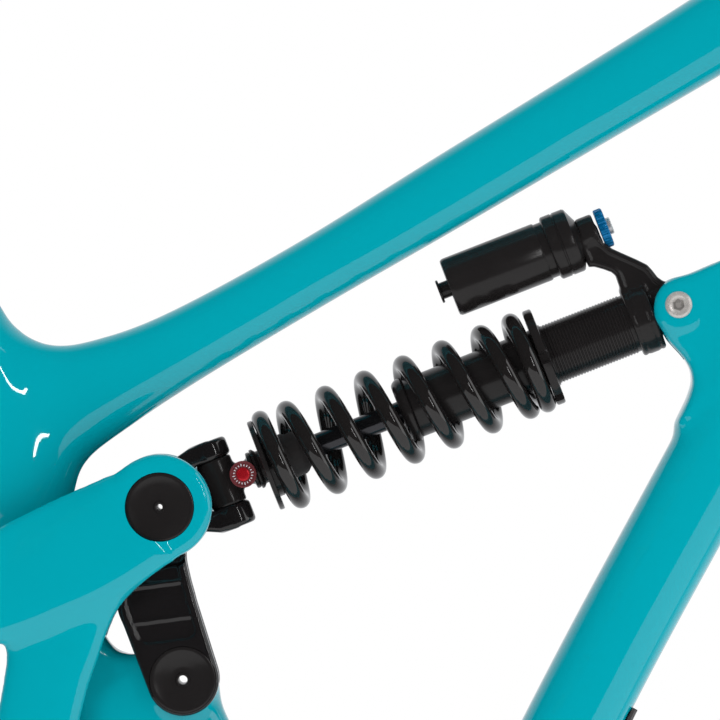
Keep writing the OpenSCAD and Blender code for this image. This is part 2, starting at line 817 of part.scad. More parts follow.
module extender() {
    color(BLACK) on_shock() difference() {
        union() {
            across([0, 0], 18, -17, 17);
            plate(-lobe_r, lobe_r) polygon([
                [0, 18], [17, 21], [24, lobe_top], [clevis_x, lobe_top], [clevis_x, fork_half],
                [fork_x, fork_half], [fork_x, -fork_half], [clevis_x, -fork_half],
                [clevis_x, lobe_foot], [24, lobe_foot + 0.5], [17, -21], [0, -18]
            ]);
            translate([clevis_x, 0, fork_half]) cylinder(r = lobe_r, h = lobe_top - fork_half);
            translate([clevis_x, 0, lobe_foot]) cylinder(r = lobe_r, h = -fork_half - lobe_foot);
        }
        across([0, 0], open_eye_r, -30, 30);
        translate([clevis_x, 0, -30]) cylinder(r = 4, h = 60);
        translate([clevis_x, 0, bolt_seat]) cylinder(r = 6.5, h = 30);
    }
}
module extender_bolt() {
    color(STEEL) on_shock() translate([clevis_x, 0, 0]) difference() {
        union() {
            translate([0, 0, lobe_foot + 1]) cylinder(r = 4, h = bolt_seat - lobe_foot - 1);
            translate([0, 0, bolt_seat]) cylinder(r = 6.5, h = 5);
        }
        translate([0, 0, bolt_seat + 2]) cylinder(r = 2.5 / cos(30), h = 4, $fn = 6);
    }
}
module rebound_knob() {
    color(RED) on_shock() translate([knob_x, -10.5, 0]) rotate([90, 0, 0]) rotate_extrude()
        polygon([[0, 0], [6.9, 0], [6.9, 3], [6.1, 3.8], [4, 3.8], [3.5, 5], [2, 5.8], [0, 6]]);
}

head_tube();
top_tube();
down_tube();
seat_tube();
seat_mast();
bb_shell();
shock_mount();
seat_collar();
seat_collar_bolt();
bottle_inserts();
down_tube_guard();
cable_ports();
carrier_rails();
rail_brackets();
bracket_bolts();
lower_pivot_axle();
shock_bolt();
rocker_link();
rocker_bearings();
rocker_caps();
upper_pivot_axle();
upper_pivot_caps();
boss_right();
boss_left();
seatstay_right();
seatstay_left();
strut_right();
strut_left();
chainstay_right();
chainstay_left();
yoke();
yoke_caps();
dropout_right();
dropout_left();
derailleur_hanger();
hanger_bolt();
brake_mount();
chainstay_guard();
carrier_block();
carrier_axle();
damper_body();
damper_head();
reservoir();
reservoir_collar();
reservoir_piston();
valve_cap();
eyelet_bush();
seal_head();
coil_spring();
preload_collar();
compression_knob();
damper_shaft();
damper_piston();
bump_stop();
shaft_end();
spring_seat();
extender();
extender_bolt();
rebound_knob();
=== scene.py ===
import json
import math

import bmesh
import bpy
import numpy as np
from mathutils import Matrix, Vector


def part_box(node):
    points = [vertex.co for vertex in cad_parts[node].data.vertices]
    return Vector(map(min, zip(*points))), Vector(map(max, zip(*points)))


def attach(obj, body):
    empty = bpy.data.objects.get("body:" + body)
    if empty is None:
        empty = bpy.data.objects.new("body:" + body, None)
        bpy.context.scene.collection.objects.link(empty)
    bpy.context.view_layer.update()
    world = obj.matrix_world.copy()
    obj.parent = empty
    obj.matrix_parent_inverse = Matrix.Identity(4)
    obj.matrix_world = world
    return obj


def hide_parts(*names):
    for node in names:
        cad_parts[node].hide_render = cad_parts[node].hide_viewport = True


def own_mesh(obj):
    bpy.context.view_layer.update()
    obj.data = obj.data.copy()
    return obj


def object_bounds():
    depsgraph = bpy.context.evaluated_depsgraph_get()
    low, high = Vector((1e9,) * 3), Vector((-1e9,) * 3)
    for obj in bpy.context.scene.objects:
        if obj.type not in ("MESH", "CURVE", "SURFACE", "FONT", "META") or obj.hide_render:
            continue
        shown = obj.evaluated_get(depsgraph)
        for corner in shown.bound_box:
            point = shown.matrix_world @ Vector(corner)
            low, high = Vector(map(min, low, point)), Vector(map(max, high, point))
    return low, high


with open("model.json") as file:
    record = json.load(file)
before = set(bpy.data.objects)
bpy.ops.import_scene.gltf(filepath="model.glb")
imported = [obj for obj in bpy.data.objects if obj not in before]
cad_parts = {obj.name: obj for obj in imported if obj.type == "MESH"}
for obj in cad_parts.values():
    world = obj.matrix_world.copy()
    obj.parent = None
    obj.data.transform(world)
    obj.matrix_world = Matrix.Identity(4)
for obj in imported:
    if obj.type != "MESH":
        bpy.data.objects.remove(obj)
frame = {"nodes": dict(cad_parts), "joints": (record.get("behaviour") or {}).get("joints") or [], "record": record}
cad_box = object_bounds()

import openvdb
from mathutils import Matrix, Vector

# Lengths below are in millimetres in the frame's own axes; meshes are made in metres.
MM = 0.001

# ---------------------------------------------------------------- places taken from the frame
joints = {j["name"]: j for j in frame["joints"]}


def joint_xz(name):
    """A joint's place in the side view, in millimetres."""
    x, _, z = joints[name]["pos_m"]
    return np.array([x, z]) / MM


LOW = joint_xz("rocker_swing")
TOP = joint_xz("swingarm_pivot")
FRONT = joint_xz("damper_pivot")
SHOCK_AXIS = np.array(joints["shaft_slide"]["axis"], float)
SHOCK_UP = np.array([-SHOCK_AXIS[2], 0.0, SHOCK_AXIS[0]])
SHOCK_SPAN = float(np.linalg.norm(FRONT - TOP))
slide_lo, slide_hi = (np.array(v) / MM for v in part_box("carrier_axle"))
SLIDE = np.array([(slide_lo[0] + slide_hi[0]) / 2, (slide_lo[2] + slide_hi[2]) / 2])
AXLE = np.array([-438.0, 8.0])
HEAD = np.array([442.0, 545.0])
HEAD_ANGLE = math.radians(64.5)
HEAD_DIR = np.array([-math.cos(HEAD_ANGLE), math.sin(HEAD_ANGLE)])
HEAD_HALF = 55.0
SEAT_ANGLE = math.radians(82.3)
SEAT_DIR = np.array([-math.cos(SEAT_ANGLE), math.sin(SEAT_ANGLE)])
SEAT_FOOT = np.array([-105.3, 200.0])
SEAT_TOP_Z = 474.0
SEAT_R = 18.0
# Radii of the caps at the link's two pivots, and how far their faces are from the middle plane.
LOW_CAP_R, LOW_CAP_FACE = 17.1, 32.0
TOP_CAP_R, TOP_CAP_FACE = 17.6, 46.0
BEARING_R = 12
SHELL_BORE_R, SHELL_HALF = 20.5, 46
SLIDE_BORE_R = 8.8
DROPOUT_IN, DROPOUT_OUT = 74, 82
# Places along the shock from the upper pivot, and how high the reservoir lies over the shock.
BOLT_AT = 33.4
KNOB_AT = 45.3
COIL_END = 207.5
TANK_UP = 50.3
# A distance deep inside any shape, where a maximum takes the other value.
DEEP = -1e3
# Half length of a cutter across the frame, enough for all but the dropouts.
THROUGH = 60


# ---------------------------------------------------------------- camera, floor and light
def set_camera():
    """A long lens from the frame's right side, rolled as the photograph is."""
    cam = bpy.data.cameras.new("camera")
    cam.sensor_width = 36.0
    distance = 9.0
    view_width = 0.3673
    cam.lens = cam.sensor_width * distance / view_width
    cam.clip_end = 50.0
    ob = bpy.data.objects.new("camera", cam)
    roll = math.radians(12.0)
    right = Vector((math.cos(roll), 0, -math.sin(roll)))
    up = Vector((math.sin(roll), 0, math.cos(roll)))
    back = Vector((0, -1, 0))
    centre = Vector((64.9, 0.0, 366.9)) * MM
    m = Matrix((right, up, back)).transposed().to_4x4()
    m.translation = centre + back * distance
    ob.matrix_world = m
    bpy.context.scene.collection.objects.link(ob)
    bpy.context.scene.camera = ob


def area_light(name, place, aim, size, power, mirrored=True):
    light = bpy.data.lights.new(name, "AREA")
    light.shape = "RECTANGLE"
    light.size, light.size_y = size
    light.energy = power
    ob = bpy.data.objects.new(name, light)
    ob.location = place
    ob.visible_glossy = mirrored
    ob.rotation_euler = (Vector(aim) - Vector(place)).to_track_quat("-Z", "Y").to_euler()
    bpy.context.scene.collection.objects.link(ob)


def set_world():
    """White to the camera, an even fill for matt light, and for reflections a dark room
    in front of the object with a bright sweep behind it."""
    scene = bpy.context.scene
    scene.view_settings.view_transform = "Standard"
    world = bpy.data.worlds.new("studio")
    scene.world = world
    world.use_nodes = True
    world.cycles.sampling_method = "NONE"
    nodes, links = world.node_tree.nodes, world.node_tree.links
    nodes.clear()

    def backdrop(colour, strength):
        node = nodes.new("ShaderNodeBackground")
        node.inputs["Color"].default_value = (*colour, 1)
        node.inputs["Strength"].default_value = strength
        return node

    def blend(factor, first, second):
        node = nodes.new("ShaderNodeMixShader")
        links.new(factor, node.inputs["Fac"])
        links.new(first.outputs[0], node.inputs[1])
        links.new(second.outputs[0], node.inputs[2])
        return node

    path = nodes.new("ShaderNodeLightPath")
    coord = nodes.new("ShaderNodeTexCoord")
    split = nodes.new("ShaderNodeSeparateXYZ")
    links.new(coord.outputs["Generated"], split.inputs[0])
    sweep = nodes.new("ShaderNodeMapRange")
    sweep.interpolation_type = "SMOOTHSTEP"
    sweep_from, sweep_to = 0.0, 0.7
    darkest, brightest = 0.02, 0.9
    sweep.inputs["From Min"].default_value = sweep_from
    sweep.inputs["From Max"].default_value = sweep_to
    sweep.inputs["To Min"].default_value = darkest
    sweep.inputs["To Max"].default_value = brightest
    links.new(split.outputs["Y"], sweep.inputs["Value"])
    room = backdrop((0.97, 0.98, 1.0), 1.0)
    links.new(sweep.outputs["Result"], room.inputs["Strength"])
    fill = backdrop((0.95, 0.97, 1.0), 0.5)
    seen = backdrop((1.0, 1.0, 1.0), 1.0)
    matt_or_gloss = blend(path.outputs["Is Glossy Ray"], fill, room)
    out = nodes.new("ShaderNodeOutputWorld")
    final = blend(path.outputs["Is Camera Ray"], matt_or_gloss, seen)
    links.new(final.outputs[0], out.inputs["Surface"])


def set_stage():
    """World, lights and a white floor. Lights that aren't mirrored leave no glint."""
    set_world()
    aim = (0.02, 0.0, 0.36)
    area_light("overhead", (0.1, -0.7, 2.9), aim, (2.8, 1.6), 30, mirrored=False)
    area_light("front", (-1.3, -3.4, 1.9), aim, (1.5, 1.6), 48, mirrored=False)
    area_light("right_strip", (1.9, -3.0, 0.75), aim, (0.08, 1.3), 9)
    area_light("edge", (2.6, -0.4, 0.6), aim, (2.2, 2.4), 30)
    area_light("low", (0.1, -0.7, -0.14), (0.1, -0.7, 1.0), (2.4, 1.5), 10)
    area_light("back", (0.3, 2.6, 1.6), aim, (2.4, 1.2), 30, mirrored=False)
    mesh = bpy.data.meshes.new("floor")
    half, drop = 6.0, 0.12
    z = cad_box[0][2] - drop
    corners = [(-half, -half, z), (half, -half, z), (half, half, z), (-half, half, z)]
    mesh.from_pydata(corners, [], [(0, 1, 2, 3)])
    floor = bpy.data.objects.new("floor", mesh)
    bpy.context.scene.collection.objects.link(floor)
    floor.data.materials.append(material("floor_white", (0.86, 0.86, 0.86), rough=0.7))
    floor.visible_glossy = False


# ---------------------------------------------------------------- materials
# Materials made so far. The suffix "_look" keeps them apart from the CAD's own materials.
MADE = {}


def material(name, colour, rough=0.4, metal=0.0, coat=0.0, coat_rough=0.05, specular=0.5,
             vary=0.06, vary_scale=30.0, bump=0.0, bump_scale=900.0, stretch=(1, 1, 1),
             rough_vary=0.08):
    """Principled surface with slow colour change, uneven gloss and a fine grain."""
    if name in MADE:
        return MADE[name]
    mat = MADE[name] = bpy.data.materials.new(name + "_look")
    mat.use_nodes = True
    nodes, links = mat.node_tree.nodes, mat.node_tree.links
    shader = nodes["Principled BSDF"]
    coord = nodes.new("ShaderNodeTexCoord")
    wide = nodes.new("ShaderNodeTexNoise")
    wide.inputs["Scale"].default_value = vary_scale
    wide.inputs["Detail"].default_value = 4.0
    links.new(coord.outputs["Object"], wide.inputs["Vector"])
    ramp = nodes.new("ShaderNodeMixRGB")
    ramp.inputs["Color1"].default_value = (*[c * (1 - vary) for c in colour], 1)
    ramp.inputs["Color2"].default_value = (*[min(c * (1 + vary), 1) for c in colour], 1)
    links.new(wide.outputs["Fac"], ramp.inputs["Fac"])
    links.new(ramp.outputs["Color"], shader.inputs["Base Color"])
    gloss = nodes.new("ShaderNodeMapRange")
    gloss.inputs["To Min"].default_value = max(rough - rough_vary, 0.02)
    gloss.inputs["To Max"].default_value = rough + rough_vary
    links.new(wide.outputs["Fac"], gloss.inputs["Value"])
    links.new(gloss.outputs["Result"], shader.inputs["Roughness"])
    shader.inputs["Metallic"].default_value = metal
    shader.inputs["Coat Weight"].default_value = coat
    shader.inputs["Coat Roughness"].default_value = coat_rough
    shader.inputs["Specular IOR Level"].default_value = specular
    if bump:
        grain_depth = 0.0002
        grain = nodes.new("ShaderNodeTexNoise")
        grain.inputs["Scale"].default_value = bump_scale
        grain.inputs["Detail"].default_value = 3.0
        scale = nodes.new("ShaderNodeMapping")
        scale.inputs["Scale"].default_value = stretch
        links.new(coord.outputs["Object"], scale.inputs["Vector"])
        links.new(scale.outputs["Vector"], grain.inputs["Vector"])
        height = nodes.new("ShaderNodeBump")
        height.inputs["Strength"].default_value = bump
        height.inputs["Distance"].default_value = grain_depth
        links.new(grain.outputs["Fac"], height.inputs["Height"])
        links.new(height.outputs["Normal"], shader.inputs["Normal"])
    return mat


def paint():
    return material("paint_teal", (0.0, 0.275, 0.332), rough=0.5, coat=1.0, coat_rough=0.03,
                    vary=0.025, vary_scale=9, rough_vary=0.04, specular=0.0, bump=0.012,
                    bump_scale=420)


def gloss_black():
    return material("gloss_black", (0.0075, 0.0067, 0.007), rough=0.09, specular=0.5,
                    vary=0.12, rough_vary=0.03, bump=0.004, bump_scale=700)


def satin_black():
    return material("satin_black", (0.011, 0.0098, 0.0098), rough=0.2, specular=0.28,
                    vary=0.15, vary_scale=60, rough_vary=0.05, bump=0.01, bump_scale=2400)


def spring_enamel():
    return material("spring_enamel", (0.009, 0.008, 0.0078), rough=0.07, specular=0.55,
                    vary=0.18, vary_scale=70, rough_vary=0.02, bump=0.006, bump_scale=1400)


def dark_chrome():
    return material("dark_chrome", (0.05, 0.05, 0.055), rough=0.16, metal=0.9, vary=0.1,
                    vary_scale=150, rough_vary=0.04, bump=0.03, bump_scale=2500,
                    stretch=(1, 0.1, 1))


def steel():
    return material("stainless", (0.5, 0.475, 0.45), rough=0.27, metal=0.45, vary=0.1,
                    vary_scale=350, rough_vary=0.06, bump=0.06, bump_scale=2500,
                    stretch=(1, 0.1, 1))


def alloy():
    return material("machined_alloy", (0.55, 0.55, 0.56), rough=0.28, metal=0.5, vary=0.06,
                    vary_scale=300, bump=0.08, bump_scale=2400, stretch=(1, 0.08, 1))


def rubber():
    return material("black_rubber", (0.02, 0.0175, 0.0175), rough=0.62, specular=0.4,
                    vary=0.25, vary_scale=120, bump=0.22, bump_scale=1400)


def blue_anodised():
    return material("blue_anodised", (0.0, 0.15, 0.36), rough=0.28, metal=0.55, vary=0.2,
                    vary_scale=260, bump=0.12, bump_scale=2600)


def red_anodised():
    return material("red_anodised", (0.46, 0.008, 0.016), rough=0.26, metal=0.55, vary=0.2,
                    vary_scale=260, bump=0.1, bump_scale=2600)


def dark_red():
    return material("dark_red", (0.16, 0.03, 0.035), rough=0.35, metal=0.3, vary=0.2,
                    vary_scale=260, bump=0.05, bump_scale=2600)


def print_grey():
    return material("print_grey", (0.56, 0.55, 0.57), rough=0.45, vary=0.05, vary_scale=200,
                    specular=0.4, bump=0.05, bump_scale=2000)


# ---------------------------------------------------------------- mesh helpers
def make(name, verts, faces, mat, body, replaced=(), sharp=35.0):
    """A piece from points in millimetres, smooth-shaded up to a sharp angle."""
    mesh = bpy.data.meshes.new(name)
    mesh.from_pydata([tuple(v) for v in np.asarray(verts, float) * MM], [], faces)
    mesh.validate()
    bm = bmesh.new()
    bm.from_mesh(mesh)
    bmesh.ops.recalc_face_normals(bm, faces=bm.faces)
    bm.to_mesh(mesh)
    bm.free()
    ob = bpy.data.objects.new(name, mesh)
    bpy.context.scene.collection.objects.link(ob)
    finish_piece(ob, mat, body, replaced, sharp)
    return ob


def finish_piece(ob, mat, body, replaced=(), sharp=35.0):
    """Shades a piece, gives it its material and body, and hides the CAD nodes it replaces."""
    ob.data.shade_smooth()
    ob.data.set_sharp_from_angle(angle=math.radians(sharp))
    ob.data.materials.clear()
    ob.data.materials.append(mat)
    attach(ob, body)
    if replaced:
        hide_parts(*replaced)


def lathe_mesh(profile, segments=96, wave=None):
    """Verts and faces of a profile [(station, radius)] turned about local X."""
    verts, faces = [], []
    count = len(profile)
    for k in range(segments):
        a = 2 * math.pi * k / segments
        for i, (x, r) in enumerate(profile):
            rr = wave(i, k, r) if wave else r
            verts.append((x, rr * math.cos(a), rr * math.sin(a)))
    for k in range(segments):
        n = (k + 1) % segments
        for i in range(count - 1):
            faces.append((k * count + i, k * count + i + 1, n * count + i + 1, n * count + i))
    return np.array(verts), faces


def close_profile(profile):
    """Repeats the first point so that the turned shape is closed like a ring."""
    return list(profile) + [profile[0]]


def merge_close(ob, distance=0.00001):
    """Joins points nearer than distance, in metres, such as those on a turning axis."""
    bm = bmesh.new()
    bm.from_mesh(ob.data)
    bmesh.ops.remove_doubles(bm, verts=bm.verts, dist=distance)
    bmesh.ops.recalc_face_normals(bm, faces=bm.faces)
    bm.to_mesh(ob.data)
    bm.free()


def shock_point(p):
    """A point (along, side, up) of the shock's own axes in the frame."""
    p = np.asarray(p, float)
    base = np.array([TOP[0], 0.0, TOP[1]])
    side = np.array([0.0, 1.0, 0.0])
    return base + p[..., 0:1] * SHOCK_AXIS + p[..., 1:2] * side + p[..., 2:3] * SHOCK_UP


def turned(name, profile, mat, body, replaced=(), up=0.0, segments=96, wave=None, sharp=35.0):
    """A turned piece about the shock's axis, raised off it by up."""
    verts, faces = lathe_mesh(profile, segments, wave)
    verts[:, 2] += up
    ob = make(name, shock_point(verts), faces, mat, body, replaced, sharp)
    merge_close(ob)
    ob.data.set_sharp_from_angle(angle=math.radians(sharp))
    return ob


# ---------------------------------------------------------------- distance fields
class Field:
    """A grid over a box, holding distances to a surface in millimetres."""

    def __init__(self, lo, hi, step):
        self.lo, self.step = np.array(lo, float), step
        size = np.ceil((np.array(hi, float) - self.lo) / step).astype(int) + 1
        x, y, z = (self.lo[i] + step * np.arange(size[i], dtype=np.float32) for i in range(3))
        self.x, self.y, self.z = x[:, None, None], y[None, :, None], z[None, None, :]
        self.px, self.pz = np.meshgrid(x, z, indexing="ij")

    def mesh(self, dist, name, relax=2):
        """The surface where dist is zero, smoothed relax times."""
        band = self.step * 3
        grid = openvdb.FloatGrid(float(band))
        grid.copyFromArray(np.clip(dist, -band, band).astype(np.float32))
        verts, quads = grid.convertToQuads(0.0)
        verts = verts * self.step + self.lo
        mesh = bpy.data.meshes.new(name)
        mesh.vertices.add(len(verts))
        mesh.vertices.foreach_set("co", (verts * MM).astype(np.float32).ravel())
        mesh.loops.add(quads.size)
        mesh.loops.foreach_set("vertex_index", quads.astype(np.int32).ravel())
        mesh.polygons.add(len(quads))
        mesh.polygons.foreach_set("loop_start", np.arange(0, quads.size, 4, dtype=np.int32))
        mesh.update(calc_edges=True)
        mesh.validate()
        ob = bpy.data.objects.new(name, mesh)
        bpy.context.scene.collection.objects.link(ob)
        bm = bmesh.new()
        bm.from_mesh(mesh)
        for _ in range(relax):
            bmesh.ops.smooth_vert(bm, verts=bm.verts, factor=0.5, use_axis_x=True,
                                  use_axis_y=True, use_axis_z=True)
        bm.to_mesh(mesh)
        bm.free()
        return ob


def spline(stations, steps=16):
    """A smooth run through the stations, with steps points between neighbours."""
    s = np.array(stations, float)
    out = []
    last = len(s) - 1
    for i in range(last):
        a, b, c, d = s[max(i - 1, 0)], s[i], s[i + 1], s[min(i + 2, last)]
        for k in range(steps):
            t = k / steps
            out.append(0.5 * (2 * b + (c - a) * t + (2 * a - 5 * b + 4 * c - d) * t * t
                              + (3 * b - a - 3 * c + d) * t ** 3))
    out.append(s[last])
    return np.array(out)


def swept(f, stations):
    """Distance to a tube of superellipse sections along stations in the XZ plane.
    A station is [x, y, z, half width, half depth, exponent]."""
    s = spline(stations)
    p = s[:, (0, 2)]
    seg = np.linalg.norm(np.diff(p, axis=0), axis=1)
    run = np.concatenate([[0], np.cumsum(seg)])
    tan = np.gradient(p, run, axis=0)
    tan /= np.linalg.norm(tan, axis=1)[:, None]
    pts = np.stack([f.px.ravel(), f.pz.ravel()], 1)
    near = np.empty(len(pts), int)
    batch = 20000
    for i in range(0, len(pts), batch):
        q = pts[i:i + batch]
        near[i:i + batch] = ((q[:, None, 0] - p[None, :, 0]) ** 2
                             + (q[:, None, 1] - p[None, :, 1]) ** 2).argmin(1)
    ahead = ((pts - p[near]) * tan[near]).sum(1)
    at = np.clip(run[near] + ahead, 0, run[-1])
    val = [np.interp(at, run, s[:, k]) for k in range(6)]
    tx, tz = np.interp(at, run, tan[:, 0]), np.interp(at, run, tan[:, 1])
    dx, dz = pts[:, 0] - val[0], pts[:, 1] - val[2]
    depth = -dx * tz + dz * tx
    over = np.where((at <= 0) | (at >= run[-1]), np.abs(dx * tx + dz * tz), DEEP)
    shape = f.px.shape
    yc, hw, hd, n, depth, over = (v.reshape(shape).astype(np.float32)[:, None, :]
                                  for v in (val[1], val[3], val[4], val[5], depth, over))
    a = np.abs(f.y - yc) / hw
    b = np.abs(depth) / hd + 1e-6
    total = a ** n + b ** n
    level = total ** (1 / n)
    ga, gb = a ** (n - 1) / hw, b ** (n - 1) / hd
    slope = np.sqrt(ga * ga + gb * gb) * level ** (1 - n)
    return np.maximum((level - 1) / np.maximum(slope, 1e-4), over)


def smin(a, b, k):
    """The smaller of two distances, blended over a width k."""
    h = np.maximum(k - np.abs(a - b), 0) / k
    return np.minimum(a, b) - h * h * k * 0.25


def smax(a, b, k):
    """The larger of two distances, blended over a width k."""
    return -smin(-a, -b, k)


def rounded(q1, q2, r):
    """Distance to the meeting of two walls whose edge has radius r."""
    q1, q2 = q1 + r, q2 + r
    return (np.hypot(np.maximum(q1, 0), np.maximum(q2, 0))
            + np.minimum(np.maximum(q1, q2), 0) - r)


def drum(f, p, r, y0, y1, edge):
    """A cylinder across the frame at p, from y0 to y1, with rounded edges."""
    flat = np.hypot(f.px - p[0], f.pz - p[1])[:, None, :] - r
    return rounded(flat, np.abs(f.y - (y0 + y1) / 2) - (y1 - y0) / 2, edge)


def polygon_distance(f, outline):
    """Distance to an outline in the side view, negative inside it."""
    pts = np.array(outline, float)
    best = np.full(f.px.shape, 1e9)
    inside = np.zeros(f.px.shape, bool)
    for (x0, z0), (x1, z1) in zip(pts, np.roll(pts, -1, axis=0)):
        ex, ez = x1 - x0, z1 - z0
        t = np.clip(((f.px - x0) * ex + (f.pz - z0) * ez) / (ex * ex + ez * ez), 0, 1)
        best = np.minimum(best, np.hypot(f.px - x0 - t * ex, f.pz - z0 - t * ez))
        cross = (z0 > f.pz) != (z1 > f.pz)
        if ez != 0:
            inside ^= cross & (f.px < x0 + (f.pz - z0) * ex / ez)
    return np.where(inside, -best, best)[:, None, :].astype(np.float32)


def slab(f, outline, y0, y1, edge):
    """An outline made solid from y0 to y1, with rounded edges."""
    flat = polygon_distance(f, outline)
    return rounded(flat, np.abs(f.y - (y0 + y1) / 2) - (y1 - y0) / 2, edge)


def cut(ob, cutters):
    """Cuts closed cutter meshes out of a piece, exactly."""
    bpy.context.view_layer.update()
    for c in cutters:
        mod = ob.modifiers.new("cut", "BOOLEAN")
        mod.operation = "DIFFERENCE"
        mod.solver = "EXACT"
        mod.object = c
    graph = bpy.context.evaluated_depsgraph_get()
    mesh = bpy.data.meshes.new_from_object(ob.evaluated_get(graph))
    ob.modifiers.clear()
    ob.data = mesh
    for c in cutters:
        bpy.data.objects.remove(c)


def cutter_cylinder(base, axis, r, length, segments=96):
    """A closed cylinder from base along axis, in millimetres."""
    bm = bmesh.new()
    bmesh.ops.create_cone(bm, cap_ends=True, segments=segments, radius1=r * MM, radius2=r * MM,
                          depth=length * MM)
    mesh = bpy.data.meshes.new("cutter")
    bm.to_mesh(mesh)
    bm.free()
    ob = bpy.data.objects.new("cutter", mesh)
    axis = Vector(axis).normalized()
    ob.matrix_world = (Matrix.Translation(Vector(base) * MM + axis * length * MM / 2)
                       @ axis.to_track_quat("Z", "Y").to_matrix().to_4x4())
    bpy.context.scene.collection.objects.link(ob)
    return ob


def cutter_across(p, r, y0, y1, segments=96):
    """A closed cylinder across the frame at p, from y0 to y1."""
    return cutter_cylinder((p[0], y0, p[1]), (0, 1, 0), r, y1 - y0, segments)


